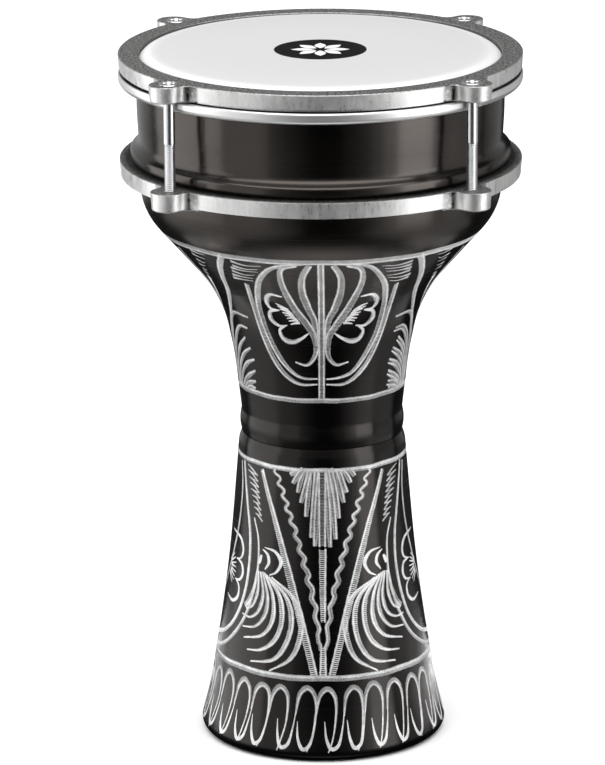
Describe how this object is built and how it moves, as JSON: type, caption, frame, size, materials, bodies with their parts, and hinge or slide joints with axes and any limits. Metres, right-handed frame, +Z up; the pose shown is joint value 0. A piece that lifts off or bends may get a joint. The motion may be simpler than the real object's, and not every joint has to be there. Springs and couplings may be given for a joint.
{
  "type": "darbuka",
  "caption": "Goblet-shaped metal hand drum with a screw-tensioned film head, lugged rings, flared foot tube and engraved lines.",
  "frame": {"origin": "centre of the foot's rest plane", "axes": "+Z up along the drum's axis, towards the head; -Y is the front"},
  "size_m": [0.214, 0.214, 0.3756],
  "materials": {
    "shell_finish": "satin dark bronze-black over aluminium",
    "engraving": "bare cut aluminium",
    "head_film": "smooth white film",
    "print": "printed black",
    "hoop_metal": "polished",
    "resin": "cast resin",
    "cast_ring": "cast, linished sides and sandy top",
    "screw_steel": "bright plated steel"
  },
  "bodies": {
    "shell": {"upper_shell": "shell_finish", "lower_shell": "shell_finish", "anchor_ring": "cast_ring"},
    "head": {"drumhead_film": "head_film", "flesh_hoop": "hoop_metal", "hoop_resin": "resin", "tuning_ring": "cast_ring"},
    "screw_front_left": {"tuning_screw_front_left": "screw_steel"},
    "screw_front_right": {"tuning_screw_front_right": "screw_steel"},
    "screw_back_left": {"tuning_screw_back_left": "screw_steel"},
    "screw_back_right": {"tuning_screw_back_right": "screw_steel"}
  },
  "joints": [
    {"name": "head_travel", "type": "slide", "parent": "shell", "child": "head", "axis": [0, 0, 1], "range_m": [0, 0.006]},
    {"name": "front_left_screw_turn", "type": "hinge", "parent": "head", "child": "screw_front_left", "pos_m": [-0.07792, -0.07792, 0.34], "axis": [0, 0, 1], "range_deg": [0, 2160]},
    {"name": "front_right_screw_turn", "type": "hinge", "parent": "head", "child": "screw_front_right", "pos_m": [0.07792, -0.07792, 0.34], "axis": [0, 0, 1], "range_deg": [0, 2160]},
    {"name": "back_left_screw_turn", "type": "hinge", "parent": "head", "child": "screw_back_left", "pos_m": [-0.07792, 0.07792, 0.34], "axis": [0, 0, 1], "range_deg": [0, 2160]},
    {"name": "back_right_screw_turn", "type": "hinge", "parent": "head", "child": "screw_back_right", "pos_m": [0.07792, 0.07792, 0.34], "axis": [0, 0, 1], "range_deg": [0, 2160]}
  ],
  "couplings": [
    {"joint": "front_left_screw_turn", "follows": "head_travel", "rad_per_m": 6283.2},
    {"joint": "front_right_screw_turn", "follows": "head_travel", "rad_per_m": 6283.2},
    {"joint": "back_left_screw_turn", "follows": "head_travel", "rad_per_m": 6283.2},
    {"joint": "back_right_screw_turn", "follows": "head_travel", "rad_per_m": 6283.2}
  ]
}
